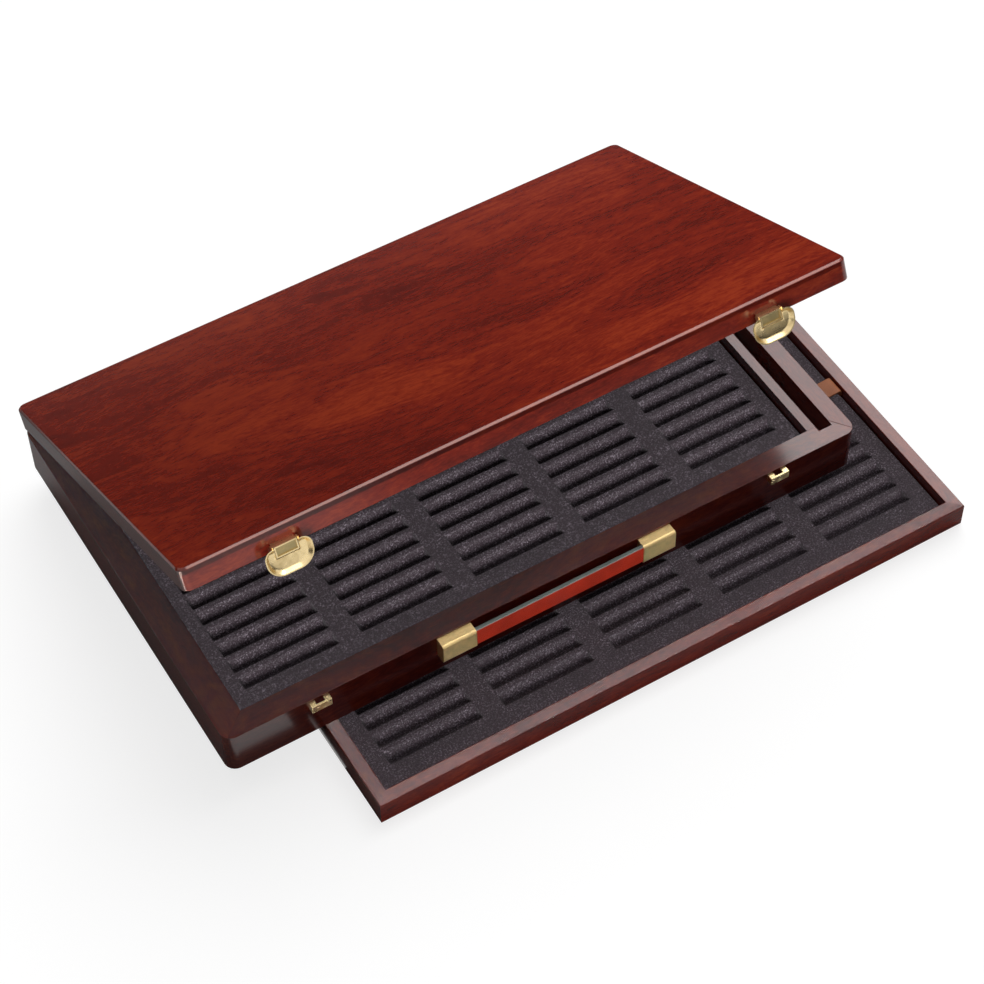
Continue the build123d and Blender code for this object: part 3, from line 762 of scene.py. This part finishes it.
def lifting_tab(context, side, hand):
    """A leather strap bent over at the tray's wall, fuller in its middle, rounded at its end."""
    look = context.scene.pastel_leather
    node = f"lift_tab_{side}"
    low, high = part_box(node)
    thick = 0.0018
    half = (high.y - low.y) / 2
    middle = (high.y + low.y) / 2
    path = tab_path(low, high, hand, thick)
    tip = Vector(path[-1])
    mesh = bmesh.new()
    rings = []
    for index, point in enumerate(path):
        before = Vector(path[max(index - 1, 0)])
        after = Vector(path[min(index + 1, len(path) - 1)])
        along = (after - before).normalized()
        normal = Vector((along.y, -along.x)) * (1 if hand < 0 else -1)
        left = (Vector(point) - tip).length
        narrow = 0.0
        if left < look.tab_corner:
            inward = look.tab_corner - left
            narrow = look.tab_corner - math.sqrt(look.tab_corner ** 2 - inward ** 2)
        reach = half - 0.6 * narrow
        ring = []
        for across, up in ((-1, -0.45), (-1, 0.45), (-0.97, 0.9), (-0.9, 1.0), (-0.5, 1.0),
                           (0, 1.0), (0.5, 1.0), (0.9, 1.0), (0.97, 0.9), (1, 0.45),
                           (1, -0.45), (0.97, -0.9), (0.9, -1.0), (0, -1.0), (-0.9, -1.0),
                           (-0.97, -0.9)):
            rise = up * (thick / 2 - look.tab_crown)
            if up >= 1.0:
                rise += look.tab_crown * (1 - across * across)
            ring.append(mesh.verts.new((
                point[0] + normal.x * rise, middle + across * reach, point[1] + normal.y * rise
            )))
        rings.append(ring)
    for ring, following in zip(rings, rings[1:]):
        for index in range(len(ring)):
            other = (index + 1) % len(ring)
            mesh.faces.new((ring[index], ring[other], following[other], following[index]))
    mesh.faces.new(rings[0])
    mesh.faces.new(rings[-1])
    bmesh.ops.recalc_face_normals(mesh, faces=mesh.faces[:])
    smooth_shade(mesh, 50)
    material = leather("tan_leather", look.tab, 1500.0, 0.0, shine=0.12)
    piece = place_piece(f"{node}_leather", mesh, "tray", [material], [node])
    return piece


# --------------------------------------------------------------------------------------- metal
def screw_head(mesh, centre, facing, radius, proud, turn):
    """A flat countersunk head with a crossed recess, as rings and a sunken cross."""
    side = facing.orthogonal().normalized()
    spin = Matrix.Rotation(turn, 3, facing)
    side = spin @ side
    other = facing.cross(side)
    arm = radius * 0.58
    wide = radius * 0.13
    cross = [(arm, -wide), (arm, wide), (wide, wide), (wide, arm), (-wide, arm), (-wide, wide),
             (-arm, wide), (-arm, -wide), (-wide, -wide), (-wide, -arm), (wide, -arm), (wide, -wide)]

    def at(x, y, height):
        return mesh.verts.new(centre + side * x + other * y + facing * height)

    angles = [math.atan2(y, x) for x, y in cross]
    rim = [at(radius * math.cos(a), radius * math.sin(a), 0.0) for a in angles]
    brow = [at(radius * 0.93 * math.cos(a), radius * 0.93 * math.sin(a), proud) for a in angles]
    mouth = [at(x, y, proud) for x, y in cross]
    floor = [at(x * 0.8, y * 0.8, proud - radius * 0.3) for x, y in cross]
    count = len(cross)
    for lower, upper in ((rim, brow), (brow, mouth), (mouth, floor)):
        for index in range(count):
            following = (index + 1) % count
            mesh.faces.new((lower[index], lower[following], upper[following], upper[index]))
    mesh.faces.new(floor)


def hinge_screws(context, side, leaf, place, body):
    """Three screw heads on the open face of one hinge leaf."""
    look = context.scene.pastel_brass
    node = f"hinge_{leaf}_leaf_{side}"
    low, high = local_box(node, place)
    facing_local = Vector((0, 0, 1 if leaf == "case" else -1))
    face_z = -0.00015 if leaf == "case" else 0.00015
    mesh = bmesh.new()
    for index, share in enumerate((0.17, 0.5, 0.83)):
        centre = Vector((low.x + (high.x - low.x) * share, low.y + (high.y - low.y) * 0.40, face_z))
        screw_head(mesh, centre, facing_local, look.screw_radius, look.screw_proud,
                   0.4 + 0.9 * index)
    mesh.transform(place)
    smooth_shade(mesh, 30)
    return place_piece(f"hinge_{leaf}_screws_{side}", mesh, body, [brass(context)],
                       weighted=False)


# --------------------------------------------------------------------------------------- stage
def plainly_seen(tree):
    """1 for what the camera sees, straight or in gloss or glass, and 0 for what lights the box."""
    path = put(tree, "LightPath")
    gloss = calc(tree, "MAXIMUM", path.outputs["Is Glossy Ray"], path.outputs["Is Transmission Ray"])
    return calc(tree, "MAXIMUM", path.outputs["Is Camera Ray"], gloss)


def lay_floor(scene, stage):
    """A round pale floor that keeps the box's shadow and otherwise shows as plain white."""
    mesh = bmesh.new()
    bmesh.ops.create_circle(mesh, cap_ends=True, segments=96, radius=stage.floor_radius)
    data = bpy.data.meshes.new("floor")
    mesh.to_mesh(data)
    mesh.free()
    floor = bpy.data.objects.new("floor", data)
    floor.location.z = -0.0001
    scene.collection.objects.link(floor)
    paper = bpy.data.materials.new("floor_paper")
    paper.use_nodes = True
    tree = paper.node_tree
    surface = tree.nodes["Principled BSDF"]
    surface.inputs["Base Color"].default_value = rgba(stage.floor)
    surface.inputs["Roughness"].default_value = 0.9
    surface.inputs["Specular IOR Level"].default_value = 0.0
    share = calc(tree, "MULTIPLY", plainly_seen(tree), stage.glow)
    white = put(tree, "Emission", {"Color": (1, 1, 1, 1), "Strength": share})
    shown = put(tree, "AddShader", {0: surface.outputs[0], 1: white.outputs[0]})
    tree.links.new(shown.outputs[0], tree.nodes["Material Output"].inputs[0])
    data.materials.append(paper)


def stand_screen(scene, stage):
    """A black screen round the floor, open to the front left, that keeps the lacquer free of glare."""
    steps = [math.radians(-80 + 5 * step) for step in range(60)]
    rim = [(stage.floor_radius * math.cos(a), stage.floor_radius * math.sin(a)) for a in steps]
    points = [(x, y, z) for z in (0.0, stage.screen_height) for x, y in rim]
    count = len(rim)
    faces = [(i, i + 1, count + i + 1, count + i) for i in range(count - 1)]
    data = bpy.data.meshes.new("black_screen")
    data.from_pydata(points, [], faces)
    show_in_gloss(scene, data, (0.01, 0.01, 0.01))


def hang_lamp(scene, name, strength, angle, towards):
    data = bpy.data.lights.new(name, "SUN")
    data.energy = strength
    data.angle = math.radians(angle)
    lamp = bpy.data.objects.new(name, data)
    lamp.rotation_mode = "QUATERNION"
    lamp.rotation_quaternion = Vector(towards).to_track_quat("Z", "Y")
    scene.collection.objects.link(lamp)
    return lamp


def light_only(lamp, pieces, shaded_by=()):
    """Lets a lamp reach only some pieces, and lets only some pieces stand in its light."""
    for role, names in (("receiver", pieces), ("blocker", shaded_by)):
        group = bpy.data.collections.new(f"{lamp.name}_{role}s")
        for name in names:
            group.objects.link(bpy.data.objects[name])
        setattr(lamp.light_linking, f"{role}_collection", group)


def light_all_but(lamp, pieces):
    """Keeps a lamp's light off some pieces."""
    group = bpy.data.collections.new(f"{lamp.name}_spared")
    for name in pieces:
        group.objects.link(bpy.data.objects[name])
    for entry in group.collection_objects:
        entry.light_linking.link_state = "EXCLUDE"
    lamp.light_linking.receiver_collection = group


def lay_shade_cards(scene, stage):
    """Grey cards on the floor, left and in front: a painted shadow of the floor that only gloss shows, to
    darken what lacquer mirrors.
    """
    points = []
    for left, front, right, back in ((-0.46, -0.178, -0.18, 0.60), (-0.18, -0.42, 0.42, -0.2277),
                                     (-0.1915, -0.2277, -0.1788, -0.178)):
        points += [(left, front), (right, front), (right, back), (left, back)]
    data = bpy.data.meshes.new("grey_cards")
    data.from_pydata([(x, y, 0.0004) for x, y in points], [],
                     [(0, 1, 2, 3), (4, 5, 6, 7), (8, 9, 10, 11)])
    show_in_gloss(scene, data, stage.card)


def show_in_gloss(scene, data, shade):
    """Makes a piece of studio gear from a mesh that nothing but gloss shows."""
    gear = bpy.data.objects.new(data.name, data)
    scene.collection.objects.link(gear)
    for kind in ("camera", "diffuse", "transmission", "volume_scatter", "shadow"):
        setattr(gear, f"visible_{kind}", False)
    cloth = bpy.data.materials.new(f"{data.name}_matt")
    cloth.use_nodes = True
    surface = cloth.node_tree.nodes["Principled BSDF"]
    surface.inputs["Base Color"].default_value = rgba(shade)
    surface.inputs["Roughness"].default_value = 1.0
    surface.inputs["Specular IOR Level"].default_value = 0.0
    data.materials.append(cloth)


# ----------------------------------------------------------------------------------- operators
class PASTELBOX_OT_case(bpy.types.Operator):
    """Finish the case's walls, bottom and pencil trough in lacquered wood"""

    bl_idname = "pastelbox.case"
    bl_label = "Case"

    def execute(self, context):
        look = context.scene.pastel_wood
        low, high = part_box("case_left_wall")
        levels = (low.z, high.z)
        for index, (wall, along) in enumerate((("front", "X"), ("right", "Y"), ("back", "X"), ("left", "Y"))):
            eased_copy(f"case_{wall}_wall", "case", wood(context, along, piece=index + 1),
                       look.edge, levels)
        eased_copy("pencil_trough", "case", wood(context, "Y", piece=5), look.edge, (high.z,),
                   shape=square_lip)
        dress_node("case_bottom", wood(context, "X", piece=6))
        return {"FINISHED"}


class PASTELBOX_OT_lid(bpy.types.Operator):
    """Finish the lid's panel and rails in lacquered wood"""

    bl_idname = "pastelbox.lid"
    bl_label = "Lid"

    def execute(self, context):
        look = context.scene.pastel_wood
        low, high = local_box("lid_left_rail", LID_PLACE)
        for index, (rail, along) in enumerate((("front", "X"), ("right", "Y"), ("back", "X"), ("left", "Y"))):
            eased_copy(f"lid_{rail}_rail", "lid", wood(context, along, True, index + 1),
                       look.edge, (low.z,), LID_PLACE)
        low, high = local_box("lid_panel", LID_PLACE)
        levels = sorted({round((LID_PLACE.inverted() @ vertex.co).z, 6)
                         for vertex in frame["nodes"]["lid_panel"].data.vertices})
        eased_copy("lid_panel", "lid", wood(context, "X", True), look.lid_edge,
                   levels[1:], LID_PLACE)
        return {"FINISHED"}


class PASTELBOX_OT_tray(bpy.types.Operator):
    """Finish the tray's walls and bottom in lacquered wood"""

    bl_idname = "pastelbox.tray"
    bl_label = "Tray"

    def execute(self, context):
        look = context.scene.pastel_wood
        low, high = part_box("tray_left_wall")
        for index, (wall, along) in enumerate((("front", "X"), ("right", "Y"), ("back", "X"), ("left", "Y"))):
            eased_copy(f"tray_{wall}_wall", "tray", wood(context, along, piece=index + 7),
                       look.edge, (low.z, high.z))
        dress_node("tray_bottom", wood(context, "X", piece=11))
        return {"FINISHED"}


class PASTELBOX_OT_foam(bpy.types.Operator):
    """Make the slotted foam inserts and the pad in the lid"""

    bl_idname = "pastelbox.foam"
    bl_label = "Foam"

    def execute(self, context):
        look = context.scene.pastel_foam
        foam_insert(context, "case_foam", look.case_rows, "case")
        foam_insert(context, "tray_foam", look.tray_rows, "tray")
        lid_pad(context)
        return {"FINISHED"}


class PASTELBOX_OT_latches(bpy.types.Operator):
    """Finish the latch flaps, brackets, pins and keepers in brass"""

    bl_idname = "pastelbox.latches"
    bl_label = "Latches"

    def execute(self, context):
        look = context.scene.pastel_brass
        for side in SIDES:
            flap = eased_copy(f"latch_flap_{side}", f"latch_flap_{side}", brass(context),
                              look.edge, shape=dish_flap)
            bracket = eased_copy(f"latch_bracket_{side}", "lid", brass(context), look.edge)
            bracket.data.materials.append(dull_brass(context))
            panel_depth = local_box(f"latch_bracket_{side}", LID_PLACE)[0].y + 0.0008
            for face in bracket.data.polygons:
                centre = LID_PLACE.inverted() @ face.center
                if abs(centre.y - panel_depth) < 0.0002 and face.area > 2e-5:
                    face.material_index = 1
            eased_copy(f"keeper_{side}", "case", brass(context), look.edge)
            dress_node(f"latch_pin_{side}", brass(context))
        return {"FINISHED"}


class PASTELBOX_OT_handle(bpy.types.Operator):
    """Finish the handle's brass caps, leather strap and screws"""

    bl_idname = "pastelbox.handle"
    bl_label = "Handle"

    def execute(self, context):
        look = context.scene.pastel_brass
        hide = context.scene.pastel_leather
        for side in SIDES:
            eased_copy(f"handle_cap_{side}", "case", satin_brass(context), look.cap_edge)
        strap = eased_copy("handle_strap", "strap",
                           leather("red_leather", hide.strap, 2600.0, 0.7), look.edge)
        # The strap's top and bottom faces get edge paint, made pale grey as a painted sheen as well.
        strap.data.materials.append(leather("painted_edge", hide.strap_edge_and_sheen, 2600.0, 0.9))
        for face in strap.data.polygons:
            if abs(face.normal.z) > 0.55:
                face.material_index = 1
        dress_node("handle_screws", steel())
        return {"FINISHED"}


class PASTELBOX_OT_hinges(bpy.types.Operator):
    """Finish the hinges in brass and add their screws"""

    bl_idname = "pastelbox.hinges"
    bl_label = "Hinges"

    def execute(self, context):
        case_place = Matrix.Translation(LID_JOINT["pos_m"])
        for side in SIDES:
            for node in (f"hinge_case_leaf_{side}", f"hinge_lid_leaf_{side}", f"hinge_pin_{side}"):
                dress_node(node, brass(context))
            hinge_screws(context, side, "case", case_place, "case")
            hinge_screws(context, side, "lid", LID_PLACE, "lid")
        return {"FINISHED"}


class PASTELBOX_OT_tabs(bpy.types.Operator):
    """Make the leather lifting tabs at the tray's ends"""

    bl_idname = "pastelbox.tabs"
    bl_label = "Lifting Tabs"

    def execute(self, context):
        lifting_tab(context, "left", -1)
        lifting_tab(context, "right", 1)
        return {"FINISHED"}


class PASTELBOX_OT_stage(bpy.types.Operator):
    """Set the pale floor, the soft overhead light, the room light and the camera"""

    bl_idname = "pastelbox.stage"
    bl_label = "Stage"

    def execute(self, context):
        scene = context.scene
        stage = scene.pastel_stage
        lay_floor(scene, stage)
        stand_screen(scene, stage)
        lay_shade_cards(scene, stage)
        lamp = hang_lamp(scene, "overhead", stage.lamp, math.degrees(stage.lamp_angle),
                         stage.lamp_from)
        rims = ("tray_front_wall_finished", "tray_left_wall_finished")
        light_all_but(lamp, ("case_foam_insert", "tray_foam_insert", *rims))
        tray_gleam = hang_lamp(scene, "tray_gleam", stage.tray_gleam,
                               math.degrees(stage.lamp_angle), stage.lamp_from)
        tray_gleam.data.cycles.use_multiple_importance_sampling = False
        light_only(tray_gleam, rims, rims)
        for piece, strength in (("case_foam_insert", stage.case_fill),
                                ("tray_foam_insert", stage.tray_fill),
                                ("handle_strap_finished", stage.strap_fill),
                                ("tray_front_wall_finished", stage.front_fill)):
            fill = hang_lamp(scene, f"fill_{piece}", strength, 24, stage.fill_from)
            light_only(fill, (piece,), (piece,))
        caps = [f"handle_cap_{side}_finished" for side in SIDES]
        keepers = [f"keeper_{side}_finished" for side in SIDES]
        rail_fill = hang_lamp(scene, "rail_fill", stage.rail_fill, 40, (-0.5, -0.8, 0.3))
        light_only(rail_fill, ("lid_front_rail_finished",),
                   ("lid_front_rail_finished", "latch_flap_left_finished", "latch_flap_right_finished"))
        for name, strength, angle, towards, pieces in (
            ("strip", stage.strip, 28, stage.strip_from, ["lid_panel_finished"]),
            ("corner", stage.corner, 28, stage.corner_from,
             ["lid_panel_finished", "lid_front_rail_finished", "lid_left_rail_finished"]),
            ("gleam", stage.gleam, 54, stage.gleam_from,
             ["case_front_wall_finished", "case_left_wall_finished", *caps, *keepers]),
            ("glint", stage.glint, 60, stage.glint_from, [*caps, *keepers]),
        ):
            mirrored = hang_lamp(scene, name, strength, angle, towards)
            mirrored.data.cycles.use_multiple_importance_sampling = name == "strip"
            mirrored.visible_diffuse = name == "strip"
            light_only(mirrored, pieces, pieces)
            if name in ("strip", "corner"):
                mirrored.data.color = stage.warm

        world = bpy.data.worlds.new("room")
        world.use_nodes = True
        scene.world = world
        tree = world.node_tree
        sky = tree.nodes["Background"]
        sky.inputs["Color"].default_value = (1, 1, 1, 1)
        direction = put(tree, "TexCoord").outputs["Generated"]
        nearness = put(tree, "VectorMath", {0: direction, 1: Vector(stage.lamp_from).normalized()},
                       operation="DOT_PRODUCT").outputs["Value"]
        tree.links.new(spread(tree, nearness, 0.15, 0.95, stage.sky_low, stage.sky_high),
                       sky.inputs["Strength"])
        backdrop = put(tree, "Background", {"Color": (1, 1, 1, 1), "Strength": 1.0})
        shown = put(tree, "MixShader", {0: plainly_seen(tree), 1: sky.outputs[0], 2: backdrop.outputs[0]})
        tree.links.new(shown.outputs[0], tree.nodes["World Output"].inputs[0])

        camera_data = bpy.data.cameras.new("camera")
        camera_data.lens = stage.lens
        camera_data.sensor_width = 36
        camera_data.sensor_fit = "HORIZONTAL"
        camera = bpy.data.objects.new("camera", camera_data)
        scene.collection.objects.link(camera)
        camera.location = stage.camera_at
        line = Vector(stage.look_at) - Vector(stage.camera_at)
        camera.rotation_mode = "QUATERNION"
        camera.rotation_quaternion = (
            line.to_track_quat("-Z", "Y") @ Quaternion((0, 0, 1), stage.roll)
        )
        scene.camera = camera
        scene.view_settings.view_transform = "Standard"
        return {"FINISHED"}


# ------------------------------------------------------------------------------------ sidebar
STEPS = (PASTELBOX_OT_case, PASTELBOX_OT_lid, PASTELBOX_OT_tray, PASTELBOX_OT_foam,
         PASTELBOX_OT_latches, PASTELBOX_OT_handle, PASTELBOX_OT_hinges, PASTELBOX_OT_tabs,
         PASTELBOX_OT_stage)
SETTINGS = {"pastel_wood": WoodFinish, "pastel_foam": FoamFinish, "pastel_brass": BrassFinish,
            "pastel_leather": LeatherFinish, "pastel_stage": StageSettings}


class PASTELBOX_PT_sidebar(bpy.types.Panel):
    """Lists the steps and the settings"""

    bl_idname = "PASTELBOX_PT_sidebar"
    bl_label = "Pastel Box"
    bl_space_type = "VIEW_3D"
    bl_region_type = "UI"
    bl_category = "Pastel Box"

    def draw(self, context):
        for step in STEPS:
            self.layout.operator(step.bl_idname)
        for name in SETTINGS:
            box = self.layout.box()
            group = getattr(context.scene, name)
            for field in group.__annotations__:
                box.prop(group, field)


def register():
    for kind in (*SETTINGS.values(), *STEPS, PASTELBOX_PT_sidebar):
        bpy.utils.register_class(kind)
    for name, kind in SETTINGS.items():
        setattr(bpy.types.Scene, name, PointerProperty(type=kind))


def unregister():
    for name in SETTINGS:
        delattr(bpy.types.Scene, name)
    for kind in (PASTELBOX_PT_sidebar, *reversed(STEPS), *reversed(tuple(SETTINGS.values()))):
        bpy.utils.unregister_class(kind)


def main():
    register()
    for step in STEPS:
        getattr(bpy.ops.pastelbox, step.bl_idname.split(".")[1])()


if __name__ == "__main__":
    main()
